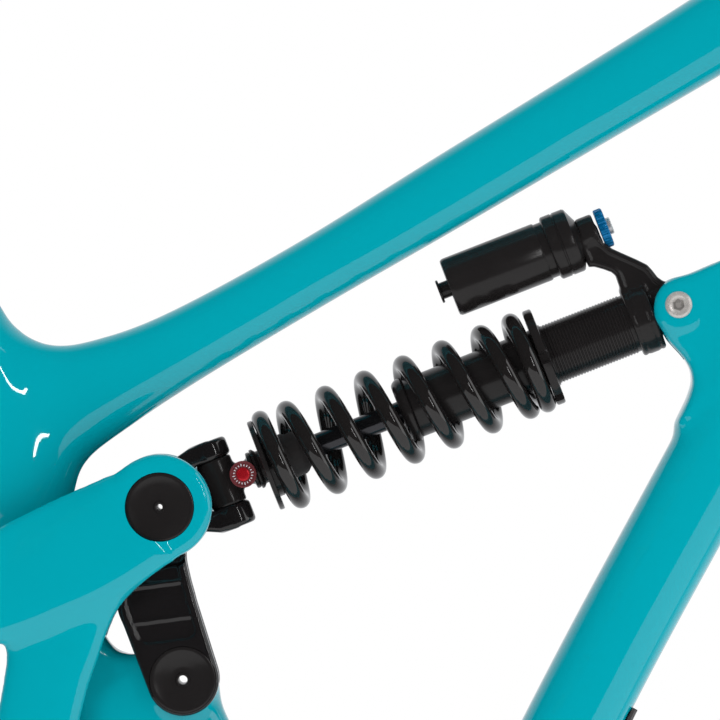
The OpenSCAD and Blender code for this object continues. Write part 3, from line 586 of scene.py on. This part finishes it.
# ---------------------------------------------------------------- front triangle
def build_front():
    """Head tube, top and down tubes, seat tube, mast, shell and shock lug as one shell."""
    f = Field((-172, -52, -34), (504, 52, 614), step=1.8)
    trim = 4
    head_axis = (f.px - HEAD[0]) * HEAD_DIR[0] + (f.pz - HEAD[1]) * HEAD_DIR[1]
    head_off = -(f.px - HEAD[0]) * HEAD_DIR[1] + (f.pz - HEAD[1]) * HEAD_DIR[0]
    head_r = np.interp(head_axis, [-60, -39, -21, 21, 41, 60],
                       [32.5, 32.5, 28.8, 25.6, 26.6, 26.6])
    head = np.hypot(head_off[:, None, :], f.y) - head_r[:, None, :]
    head = np.maximum(head, (np.abs(head_axis) - HEAD_HALF - trim)[:, None, :])
    seat_run = (f.px - SEAT_FOOT[0]) * SEAT_DIR[0] + (f.pz - SEAT_FOOT[1]) * SEAT_DIR[1]
    seat_off = -(f.px - SEAT_FOOT[0]) * SEAT_DIR[1] + (f.pz - SEAT_FOOT[1]) * SEAT_DIR[0]
    seat_len = (SEAT_TOP_Z - SEAT_FOOT[1]) / SEAT_DIR[1]
    flare = np.interp(seat_run, [0, 190, 214, 230, 246, 262], [0, 0, 6, 9, 4.5, 0])
    stretch = SEAT_R / (SEAT_R + np.where(seat_off * SEAT_DIR[1] < 0, flare, 0))
    seat = np.hypot((seat_off * stretch)[:, None, :], f.y) - SEAT_R
    seat_ends = np.maximum(seat_run - seat_len - trim, -seat_run - trim)
    seat = np.maximum(seat, seat_ends[:, None, :])
    top = swept(f, [
        [-128, 0, 370, 17, 48, 2.3], [-110, 0, 371.5, 17.5, 44, 2.3],
        [-92, 0, 375.5, 17.5, 32, 2.3], [-60.5, 0, 382, 17.5, 23.7, 2.3],
        [-20.5, 0, 392.7, 17.5, 18.9, 2.4], [49.5, 0, 415, 18, 17.3, 2.5],
        [132.5, 0, 443.3, 19, 18.6, 2.6], [268, 0, 490, 21, 20.5, 2.6],
        [360, 0, 524, 22.5, 23.5, 2.5], [440, 0, 556, 22, 28, 2.3]])
    down = swept(f, [
        [0, 0, 0, 27, 22, 2.6], [62, 0, 75, 26, 23.8, 2.7], [137, 0, 168.8, 25.5, 23.8, 2.7],
        [197.7, 0, 241, 25.5, 23.8, 2.7], [300, 0, 358, 26, 24.5, 2.6],
        [380, 0, 439, 26, 26.5, 2.5], [452, 0, 515, 24.5, 29, 2.3]])
    mast = swept(f, [
        [0, 0, 0, 24, 21, 2.5], [-3, 0, 60, 22, 22, 2.6], [-12, 0, 116, 19.5, 22, 2.7],
        [-50, 0, 163, 19.3, 24, 2.8], [-76, 0, 206, 19.3, 36, 2.8],
        [-88, 0, 232, 19.3, 35, 2.8]])
    pedestal = drum(f, LOW, 17, -19.5, 19.5, 3)
    saddle = slab(f, [(-114, 268), (-98, 262), (-93.4, 251.5), (-88, 247), (-79.6, 244.2),
                      (-62, 242.5), (-50, 226), (-62, 196), (-112, 200)], -19.2, 19.2, 4)
    mast = smin(mast, saddle, 5)
    shell = drum(f, (0, 0), 25, -SHELL_HALF - trim, SHELL_HALF + trim, 2)
    lug = drum(f, FRONT, 12.3, -22, 22, 2.5)
    gusset = slab(f, [FRONT + v for v in (
        (-2.3, 12.1), (26, 17.8), (60, 25), (68, 12), (12, -44), (-12, -59), (-4.5, -48.6),
        (-1, -41), (-0.8, -34), (-3, -27), (-9.4, -16.3), (-12.2, -4))], -22, 22, 4)
    lug = smin(lug, gusset, 6)
    d = smin(top, seat, 34)
    d = smin(d, head, 26)
    d = smin(d, down, 26)
    d = smin(d, smin(mast, pedestal, 10), 16)
    d = smin(d, shell, 10)
    d = smin(d, lug, 11)
    ob = f.mesh(d, "front_triangle", relax=4)
    steerer_r, upper_cup_r, lower_cup_r, cup_depth = 20.5, 22, 28, 14
    seat_bore_r, seat_bore_depth = 15.8, 246.5
    fork_gap, bolt_r, axle_r = 15, 5, 7.5
    head3 = np.array([HEAD_DIR[0], 0, HEAD_DIR[1]])
    head_mid = np.array([HEAD[0], 0, HEAD[1]])
    seat3 = np.array([SEAT_DIR[0], 0, SEAT_DIR[1]])
    seat_top = np.array([SEAT_FOOT[0], 0, SEAT_FOOT[1]]) + seat3 * seat_len
    cutters = [
        cutter_cylinder(head_mid + head3 * HEAD_HALF, head3, 60, 30),
        cutter_cylinder(head_mid - head3 * HEAD_HALF, -head3, 60, 30),
        cutter_cylinder(head_mid - head3 * 60, head3, steerer_r, 120),
        cutter_cylinder(head_mid + head3 * (HEAD_HALF - cup_depth), head3, upper_cup_r, 30),
        cutter_cylinder(head_mid - head3 * (HEAD_HALF - cup_depth), -head3, lower_cup_r, 30),
        cutter_cylinder(seat_top, seat3, 40, 30),
        cutter_cylinder(seat_top - seat3 * seat_bore_depth, seat3, seat_bore_r, 280),
        cutter_across((0, 0), SHELL_BORE_R, -THROUGH, THROUGH),
        cutter_across((0, 0), 40, SHELL_HALF, THROUGH),
        cutter_across((0, 0), 40, -THROUGH, -SHELL_HALF),
        cutter_across(FRONT, 28, -fork_gap, fork_gap),
        cutter_across(FRONT, bolt_r, -THROUGH, THROUGH),
        cutter_across(LOW, axle_r, -THROUGH, THROUGH),
    ]
    cut(ob, cutters)
    finish_piece(ob, paint(), "main_frame", (
        "head_tube", "top_tube", "down_tube", "seat_tube", "seat_mast", "bb_shell",
        "shock_mount"), sharp=32)


# ---------------------------------------------------------------- swingarm
def build_swingarm():
    """The right half is worked out, then mirrored, so the two sides are alike."""
    half_width = 92.8
    f = Field((-462, -half_width, -20), (-16, 0, 350), step=1.6)
    stay = swept(f, [
        [-56, -40, 313, 6, 25, 3], [-100, -40.5, 304.5, 6.5, 25, 3],
        [-145, -42.5, 291, 7, 24, 2.8], [-195, -50, 264, 8, 17, 2.6],
        [-255, -59, 208, 8.5, 13.5, 2.5], [-345, -71.5, 106, 7.5, 12, 2.5],
        [-424, -78, 20, 4, 12, 2.6]])
    strut = swept(f, [
        [-66, -40, 306, 6, 20, 3], [-99.3, -40, 283.3, 6, 23, 3],
        [-117.2, -40, 255.6, 6, 22.5, 3], [-127.3, -40, 235, 6, 21.2, 2.8],
        [-137, -40, 210, 6, 20.5, 2.8], [-140, -39.5, 180, 6, 19.5, 2.8],
        [-124, -37, 140, 7, 19, 2.8], [-90, -31, 108, 7.5, 18, 2.8],
        [-61, -28.5, 92, 5.7, 17, 2.8]])
    chain = swept(f, [
        [-72, -33, 92, 8, 15, 2.8], [-122, -43.5, 80, 7, 14.5, 2.8],
        [-205, -53.5, 56, 7.5, 14, 2.6], [-320, -69, 26, 7.5, 12, 2.5],
        [-424, -78, 9.5, 4, 12, 2.6]])
    boss = drum(f, TOP, 26.8, -TOP_CAP_FACE, -34, 3.6)
    d = smin(stay, strut, 14)
    d = smin(d, boss, 3)
    d = smin(d, chain, 12)
    plate = slab(f, [AXLE + v for v in (
        (0, -13), (30, -9), (36, 6), (34, 18), (24, 30), (10, 28), (-10, 8))],
        -DROPOUT_OUT, -DROPOUT_IN, 2)
    drop = smin(drum(f, AXLE, 15, -DROPOUT_OUT, -DROPOUT_IN, 2), plate, 3)
    d = smin(d, drop, 8)
    yoke_r, yoke_half, yoke_inside, yoke_reach, pocket_back = 17, 34, 22.6, 13.5, -75.5
    block = rounded(np.maximum(np.abs(f.px - (SLIDE[0] - yoke_reach)) - yoke_reach,
                               np.abs(f.pz - SLIDE[1]) - yoke_r)[:, None, :],
                    np.abs(f.y) - yoke_half + 0 * f.x, 3)
    ear = drum(f, SLIDE, yoke_r, -yoke_half, -yoke_inside, 2)
    pocket = np.maximum((pocket_back - f.px)[:, None, :], np.abs(f.y) - yoke_inside)
    block = smax(smin(block, ear, 2), -pocket, 1.5)
    d = smin(d, block, 8)
    d = np.maximum(d, np.where(pocket + 0 * d < 0, -pocket, DEEP))
    d = np.maximum(d, -DROPOUT_OUT - f.y)
    # The flat inner face beside the link, which swings past it.
    link_low, arm_inside = 190, 33.8
    d = smax(d, np.where(f.z > link_low, f.y + arm_inside, DEEP), 1.5)
    full = np.concatenate([d, d[:, -2::-1, :]], axis=1)
    whole = Field((-462, -half_width, -20), (-16, half_width, 350), step=1.6)
    ob = whole.mesh(full, "swingarm", relax=4)
    axle_r, cap_seat = 6, TOP_CAP_FACE - 3
    cutters = [
        cutter_across(TOP, axle_r, -THROUGH, THROUGH),
        cutter_across(TOP, TOP_CAP_R, -THROUGH, -cap_seat),
        cutter_across(TOP, TOP_CAP_R, cap_seat, THROUGH),
        cutter_across(AXLE, axle_r, -100, 100),
        cutter_across(SLIDE, SLIDE_BORE_R, -THROUGH, THROUGH),
    ]
    cut(ob, cutters)
    finish_piece(ob, paint(), "swingarm", (
        "boss_right", "boss_left", "seatstay_right", "seatstay_left", "strut_right",
        "strut_left", "chainstay_right", "chainstay_left", "yoke", "dropout_right",
        "dropout_left"), sharp=32)


# ---------------------------------------------------------------- rocker link and its caps
def tapered(px, pz, a, ra, b, rb):
    """Distance to the flat outline swept between two circles."""
    length = np.hypot(b[0] - a[0], b[1] - a[1])
    ux, uz = (b[0] - a[0]) / length, (b[1] - a[1]) / length
    run = (px - a[0]) * ux + (pz - a[1]) * uz
    off = np.abs((px - a[0]) * uz - (pz - a[1]) * ux)
    lean = (ra - rb) / length
    t = np.clip(run - off * lean / math.sqrt(1 - lean * lean), 0, length)
    return np.hypot(run - t, off) - (ra - lean * t)


def build_link():
    """Two arms joined by a tie, each with a recess, its ribs and a raised rim."""
    f = Field((-88, -34, 202), (-26, 34, 336), step=0.8)
    middle, neck = (-62.2, 268.0), (-61.0, 288.0)
    outline = smin(tapered(f.px, f.pz, LOW, 18.4, middle, 19.6),
                   tapered(f.px, f.pz, middle, 19.6, neck, 18.0), 1.0)
    outline = smin(outline, tapered(f.px, f.pz, neck, 18.0, TOP, 14.0), 1.0)
    span = float(np.hypot(*(TOP - LOW)))
    ux, uz = (TOP - LOW) / span
    run = (f.px - LOW[0]) * ux + (f.pz - LOW[1]) * uz
    side = (f.px - LOW[0]) * uz - (f.pz - LOW[1]) * ux
    flat = outline[:, None, :].astype(np.float32)
    reach = np.abs(f.y)
    d = rounded(flat, np.abs(reach - 26) - 6, 2.4)
    pocket = rounded(outline + 4.6, np.abs(run - 43) - 22.5, 5.0)[:, None, :]
    ribs = np.minimum(np.abs(run - 32) - 0.8, np.abs(run - 50) - 0.8)[:, None, :]
    recess = smax(pocket, 30.4 - reach, 0.8)
    recess = smax(recess, -np.maximum(ribs, reach - 31.2), 0.6)
    d = smax(d, -recess, 0.8)
    ledge = rounded(np.hypot(run - 64, side + 3) - 12.5, 58.5 - run, 2.0)[:, None, :]
    d = smax(d, -smax(ledge, 28.8 - reach, 0.8), 0.8)
    rim = np.maximum(np.abs(outline + 2.1) - 0.5, np.abs(run - 40) - 22)
    rim = np.maximum(rim, side)[:, None, :]
    d = smin(d, np.maximum(rim, np.abs(reach - 31.5) - 1.0), 0.5)
    d = np.maximum(d, reach - LOW_CAP_FACE)
    tie = np.hypot(f.px + 60, f.pz - 268)[:, None, :] - 8
    d = smin(d, np.maximum(tie, reach - 24), 3)
    ob = f.mesh(d, "link_arms")
    cap_seat = LOW_CAP_FACE - 3
    cut(ob, [cutter_across(LOW, BEARING_R, -THROUGH, THROUGH),
             cutter_across(TOP, BEARING_R, -THROUGH, THROUGH),
             cutter_across(LOW, LOW_CAP_R, -THROUGH, -cap_seat),
             cutter_across(LOW, LOW_CAP_R, cap_seat, THROUGH)])
    finish_piece(ob, gloss_black(), "rocker", ("rocker_link",), sharp=40)


def turned_across(name, profile, p, mat, body, replaced=(), both=False, segments=96,
                  sharp=32.0):
    """A piece turned about an axis across the frame: profile is [(distance out, radius)],
    on the right, or on both sides."""
    verts, faces = lathe_mesh(profile, segments)
    sides = []
    for sign in ((-1, 1) if both else (-1,)):
        sides.append(np.stack([p[0] + verts[:, 1], sign * verts[:, 0], p[1] + verts[:, 2]], 1))
    count = len(verts)
    every = [tuple(i + count * k for i in q) for k in range(len(sides)) for q in faces]
    ob = make(name, np.concatenate(sides), every, mat, body, replaced, sharp)
    merge_close(ob)
    ob.data.set_sharp_from_angle(angle=math.radians(sharp))
    return ob


def dished(face, r, hole, dish):
    """Profile of a round cap: a flat rim, a shallow dish and a raised collar at the hole."""
    low = face - dish
    return close_profile([
        (face - 3, hole), (face - 3, r - 0.05), (face - 0.8, r - 0.05), (face - 0.25, r - 0.3),
        (face, r - 0.9), (face, r - 2.0), (face - 0.25, r - 2.6), (face - dish * 0.45, r * 0.62),
        (low + 0.1, r * 0.42), (low, r * 0.3), (low, hole + 1.5), (low + 0.7, hole + 1.2),
        (low + 0.7, hole + 0.5), (low + 0.3, hole)])


def build_pivots():
    """The link's caps, and the bolt and bush of the shock's front eye."""
    turned_across("lower_caps", dished(LOW_CAP_FACE, LOW_CAP_R, 2.3, 1.7), LOW,
                  satin_black(), "rocker", ("rocker_caps",), both=True)
    turned_across("upper_caps", dished(TOP_CAP_FACE, TOP_CAP_R, 1.5, 1.1), TOP,
                  satin_black(), "swingarm", ("upper_pivot_caps",), both=True)
    bolt = turned_across("front_bolt", [
        (-24, 0), (-24, 6.4), (-22, 6.5), (-22, 5), (22, 5), (22, 6.6), (22.3, 6.95),
        (23.3, 6.95), (24, 6.6), (24.45, 6.0), (24.65, 5.3), (24.6, 4.6), (24.3, 4.1),
        (24.3, 0)], FRONT, steel(), "main_frame", ("shock_bolt",))
    cut(bolt, [cutter_across(FRONT, 3.1, -40, -21.6, segments=6)])
    bolt.data.set_sharp_from_angle(angle=math.radians(32))
    turned_across("front_bush", close_profile([
        (0, 5.05), (14.9, 5.05), (14.9, 9.2), (14.6, 9.5), (11.2, 9.5), (11.0, 7.5), (0, 7.5)]),
        FRONT, alloy(), "damper", ("eyelet_bush",), both=True)


# ---------------------------------------------------------------- shock pieces in shock axes
SHOCK_TO_FRAME = Matrix((
    (SHOCK_AXIS[0], 0, SHOCK_UP[0], TOP[0] * MM), (SHOCK_AXIS[1], 1, SHOCK_UP[1], 0),
    (SHOCK_AXIS[2], 0, SHOCK_UP[2], TOP[1] * MM), (0, 0, 0, 1)))


def lying(f, r, up, x0, x1, edge):
    """A cylinder along the shock."""
    round_part = np.hypot(f.y, f.z - up) - r
    return rounded(round_part, np.abs(f.x - (x0 + x1) / 2) - (x1 - x0) / 2, edge)


def standing(f, x, r, z0, z1, edge):
    """A cylinder square to the shock, standing up in its plane."""
    round_part = np.hypot(f.x - x, f.y) - r
    return rounded(round_part, np.abs(f.z - (z0 + z1) / 2) - (z1 - z0) / 2, edge)


def build_extender():
    """The yoke between the upper pivot and the shaft's end, held by an upright bolt."""
    f = Field((-20, -20, -28), (47, 20, 26), step=0.7)
    gap, ear_top, ear_foot = 12.3, 22.2, -24.2
    hub = drum(f, (0, 0), 18, -17, 17, 3)
    arms = slab(f, [(0, 17.5), (17, 20.5), (24, ear_top), (BOLT_AT, ear_top), (BOLT_AT, gap),
                    (23.8, gap), (23.8, -gap), (BOLT_AT, -gap), (BOLT_AT, ear_foot),
                    (24, -23.7), (17, -20.5), (0, -17.5)], -9.7, 9.7, 2.5)
    d = smin(hub, arms, 4)
    d = smin(d, standing(f, BOLT_AT, 10.0, gap, ear_top, 2.2), 1.5)
    d = smin(d, standing(f, BOLT_AT, 10.0, ear_foot, -gap, 2.2), 1.5)
    ob = f.mesh(d, "extender_yoke")
    ob.data.transform(SHOCK_TO_FRAME)
    bolt = shock_point([[BOLT_AT, 0, 0]])[0]
    bolt_r, bolt_head_r, bolt_head_at = 4, 6.6, 16
    cut(ob, [cutter_across(TOP, BEARING_R, -THROUGH, THROUGH),
             cutter_cylinder(bolt - SHOCK_UP * 30, SHOCK_UP, bolt_r, 60),
             cutter_cylinder(bolt + SHOCK_UP * bolt_head_at, SHOCK_UP, bolt_head_r, 20)])
    finish_piece(ob, gloss_black(), "shaft", ("extender",), sharp=40)


def build_head():
    """The damper's head: collar, front eye and the hollowed bridge up to the reservoir."""
    f = Field((242, -22, -22), (302, 22, 64), step=0.6)
    collar = lying(f, 18.2, 0, 257.7, 270.3, 1.6)
    groove = np.abs(np.abs(f.x - 264) - 3.4) - 0.45
    collar = np.maximum(collar, -np.maximum(groove, 17.7 - np.hypot(f.y, f.z)))
    eye = drum(f, (SHOCK_SPAN, 0), 11.8, -11, 11, 1.4)
    neck = np.maximum(np.maximum(np.abs(f.x - 274) - 6, np.abs(f.y) - 10), np.abs(f.z) - 10.5)
    arm = [(246.5, 50), (247.9, 34.4), (250.5, 33.6), (254.4, 30.7), (257.7, 27.8),
           (258.9, 25.4), (258.7, 19.6), (259.5, 8), (272, 4), (283, 8), (282.9, 12.3),
           (280.4, 14.4), (278.6, 17.1), (277.4, 21.2), (276, 24.8), (271.7, 29.5),
           (266.1, 35.1), (262.1, 39.2), (258.4, 46), (258.4, 52)]
    flat = polygon_distance(f, arm)
    bridge = rounded(flat, np.abs(f.y) - 9, 2.6)
    inner = np.maximum(flat + 3.2, 7.9 - np.abs(f.y))
    d = smax(bridge, -inner, 1.4)
    d = smin(d, lying(f, 9.2, TANK_UP, 249.6, 258.4, 1.0), 3)
    d = smin(d, smin(smin(collar, neck, 2), eye, 2), 2.5)
    d = smin(d, lying(f, 14, 0, 251, 259, 0.5), 0.5)
    ob = f.mesh(d, "damper_bridge")
    ob.data.transform(SHOCK_TO_FRAME)
    bush_r, knob_room_r = 7.5, 10.8
    knob_seat = shock_point([[259.3, 0, TANK_UP]])[0]
    cut(ob, [cutter_across(FRONT, bush_r, -THROUGH, THROUGH),
             cutter_cylinder(knob_seat, SHOCK_AXIS, knob_room_r, 30)])
    finish_piece(ob, satin_black(), "damper", ("damper_head",), sharp=40)


def build_coil():
    """The spring's helix, with a closer turn at each end."""
    mean, wire = 22.85, 4.5
    x0, ring, sides, turns = 63.5, 48, 28, 7.5
    first_rise, pitch, last_rise, last_turns = 14, 21.3, 19, 1.5
    open_end = turns - last_turns
    total = int(turns * ring)
    verts = []
    for i in range(total + 1):
        t = i / ring
        if t < 1:
            rise = first_rise * t ** 1.6
        elif t < open_end:
            rise = first_rise + (t - 1) * pitch
        else:
            to_go = 1 - (t - open_end) / last_turns
            rise = first_rise + (open_end - 1) * pitch + last_rise * (1 - to_go ** 1.8)
        q = 2 * math.pi * t
        for k in range(sides):
            w = 2 * math.pi * k / sides
            r = mean + wire * math.cos(w)
            verts.append((x0 + rise + wire * math.sin(w), -r * math.sin(q), r * math.cos(q)))
    faces = [tuple(range(sides)), tuple(total * sides + k for k in reversed(range(sides)))]
    for i in range(total):
        for k in range(sides):
            n = (k + 1) % sides
            faces.append((i * sides + k, (i + 1) * sides + k, (i + 1) * sides + n,
                          i * sides + n))
    ob = make("spring_wire", shock_point(verts), faces, spring_enamel(), "damper",
              ("coil_spring",), sharp=50)
    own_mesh(ob)


def build_shock():
    """Body, reservoir, knobs, preload collar, shaft and spring seat."""
    thread = []
    x, thread_end, thread_pitch = 213.0, 255.5, 1.6
    while x < thread_end:
        thread += [(x, 15.1), (x + 0.35, 15.5), (x + 1.0, 15.5), (x + 1.35, 15.1)]
        x += thread_pitch
    turned("damper_tube", close_profile(
        [(137.5, 14.05), (137.5, 15.2), (138, 15.55), (211, 15.55), (212.5, 15.1)] + thread
        + [(256.2, 15.1), (257.7, 15.1), (257.7, 14.05)]),
        satin_black(), "damper", ("damper_body",))
    turned("seal_head_cap", close_profile(
        [(131.5, 6.1), (131.5, 13.6), (131.8, 14.6), (132.6, 15.6), (133.8, 16.4), (135, 16.9),
         (136.8, 17), (137.4, 16.6), (137.5, 15.9), (137.5, 14), (149.5, 14), (149.5, 6.1)]),
        satin_black(), "damper", ("seal_head",))
    turned("reservoir_tank", [
        (177.8, 3.0), (177.8, 13.6), (178.1, 14.6), (179.0, 15.2), (180.2, 15.35),
        (228.2, 15.35), (229, 14.9), (229, 13.6), (182, 13.6), (182, 3.0), (177.8, 3.0)],
        satin_black(), "damper", ("reservoir",), up=TANK_UP)
    turned("reservoir_cap", [
        (229, 0), (229, 14.6), (232.6, 14.6), (232.9, 15.6), (233.3, 16.4), (234, 16.8),
        (238.6, 16.8), (238.9, 16.4), (239.6, 16.4), (239.9, 16.8), (245.2, 16.8),
        (246.2, 16.3), (247.4, 13.6), (249.4, 9.4), (249.6, 9.0), (249.6, 0)],
        satin_black(), "damper", ("reservoir_collar",), up=TANK_UP)
    turned("valve", [
        (172, 0), (172, 5.7), (172.3, 6.1), (173, 6.1), (173.3, 5.8), (173.3, 4.35),
        (177.8, 4.35), (177.8, 2.9), (181.6, 2.9), (181.6, 0)], satin_black(), "damper",
        ("valve_cap",), up=TANK_UP, segments=64)

    def knurl(i, k, r):
        """Grooves two steps wide, every fifth step."""
        return r - (0.55 if r > 9.4 and k % 5 in (0, 1) else 0.0)

    turned("compression_grip", [
        (259.8, 0), (259.8, 9.7), (260.2, 10.25), (261, 10.3), (263.6, 10.3), (264.1, 10.0),
        (264.4, 9.3), (264.4, 5.2), (264.1, 4.8), (264.1, 0)], blue_anodised(),
        "compression_dial", ("compression_knob",), up=TANK_UP, segments=120, wave=knurl)
    turned("compression_cap", [
        (264.1, 0), (264.1, 4.4), (266.2, 4.4), (266.6, 4.0), (266.6, 2.0), (266.1, 1.7),
        (266.1, 0)], alloy(), "compression_dial", (), up=TANK_UP, segments=64)

    wheel_steps, notch_half, floor_r = 144, 5.2, 22.7

    def notched(i, k, r):
        """Six notches for a hook spanner, one every 60 degrees."""
        near = abs((k * 360 / wheel_steps + 30) % 60 - 30)
        return min(r, floor_r) if r > floor_r and near < notch_half and 0 < i < 9 else r

    turned("preload_wheel", close_profile([
        (COIL_END, 15.65), (COIL_END, 24.6), (207.8, 25.3), (208.4, 25.6), (211.2, 25.6),
        (211.9, 25.3), (212.2, 24.7), (212.2, 17.4), (212.5, 16.5), (213.2, 16.2),
        (213.2, 15.65)]), satin_black(), "preload_ring", ("preload_collar",),
        segments=wheel_steps, wave=notched)
    f = Field((20, -11, -14), (56, 11, 14), step=0.6)
    d = smin(standing(f, BOLT_AT, 9.2, -12.3, 12.3, 0.6), lying(f, 6.4, 0, 34, 52, 0.3), 3)
    ob = f.mesh(smin(d, lying(f, 9.6, 0, 49.6, 52, 0.6), 2), "shaft_clevis")
    ob.data.transform(SHOCK_TO_FRAME)
    finish_piece(ob, satin_black(), "shaft", ("shaft_end",), sharp=40)
    turned("shaft_rod", [(50, 0), (50, 6), (156, 6), (156, 0)], dark_chrome(), "shaft",
           ("damper_shaft",), segments=72)
    turned("bumper", close_profile([
        (66, 6.05), (66, 12.2), (66.4, 12.5), (69.6, 12.5), (70.4, 12.1), (71.6, 11.5),
        (76, 11.4), (77.5, 10.6), (79.6, 8.6), (80, 8.0), (80, 6.05)]), rubber(), "shaft",
        ("bump_stop",))
    turned("spring_perch", close_profile([
        (52, 6.05), (52, 10.1), (52.3, 10.4), (53.2, 10.4), (53.6, 10.1), (54.8, 8.7),
        (56.1, 8.6), (56.3, 9.2), (56.3, 23.1), (56.6, 23.8), (57.2, 24), (58.6, 24),
        (59, 23.6), (59, 17.5), (61.4, 17.5), (62, 17), (66, 11.5), (66, 6.05)]),
        satin_black(), "shaft", ("spring_seat",))
    centre = shock_point([[KNOB_AT, 0, 0]])[0]
    at = (centre[0], centre[2])
    turned_across("rebound_rim", close_profile([
        (5.5, 0.6), (5.5, 4.0), (10.5, 4.0), (10.5, 6.6), (10.8, 6.9), (16.0, 6.9),
        (16.4, 6.7), (16.5, 6.2), (16.4, 5.9), (15.7, 5.8), (15.7, 0.6)]), at, dark_red(),
        "rebound_dial", ("rebound_knob",), segments=80)
    turned_across("rebound_scale", close_profile([
        (15.6, 3.6), (15.6, 5.75), (15.9, 5.75), (15.9, 3.6)]), at, dark_red(),
        "rebound_dial", segments=80)
    bars, quads = [], []
    ticks, half, inner = 20, 0.2, 4.2
    for k in range(ticks):
        a = 2 * math.pi * k / ticks
        reach = 5.5 if k % 5 == 0 else 5.1
        for y in (-15.8, -16.05):
            for r, w in ((inner, -half), (reach, -half), (reach, half), (inner, half)):
                bars.append((at[0] + r * math.cos(a) - w * math.sin(a), y,
                             at[1] + r * math.sin(a) + w * math.cos(a)))
        n = 8 * k
        quads += [(n, n + 1, n + 2, n + 3), (n + 4, n + 5, n + 6, n + 7)]
        quads += [(n + i, n + (i + 1) % 4, n + 4 + (i + 1) % 4, n + 4 + i) for i in range(4)]
    make("rebound_ticks", bars, quads, print_grey(), "rebound_dial")
    turned_across("rebound_hub", [
        (15.6, 0), (15.6, 3.5), (16.1, 3.4), (16.35, 2.9), (16.45, 2.0), (16.5, 1.0),
        (16.5, 0)], at, red_anodised(), "rebound_dial", segments=64)


# ---------------------------------------------------------------- carried-over CAD parts
def finish_cad_nodes():
    """Gives every CAD node the material of its slot."""
    looks = {"frame_paint": paint, "gloss_black": gloss_black, "satin_black": satin_black,
             "stainless": steel, "machined_alloy": alloy, "black_rubber": rubber,
             "spring_enamel": spring_enamel, "blue_anodised": blue_anodised,
             "red_anodised": red_anodised, "dark_chrome": dark_chrome}
    for part in frame["record"]["subparts"]:
        ob = frame["nodes"][part["node"]]
        ob.data.materials.clear()
        ob.data.materials.append(looks[part["material_slot"]]())


set_camera()
set_stage()
build_front()
build_swingarm()
build_link()
build_pivots()
build_extender()
build_head()
build_coil()
build_shock()
finish_cad_nodes()
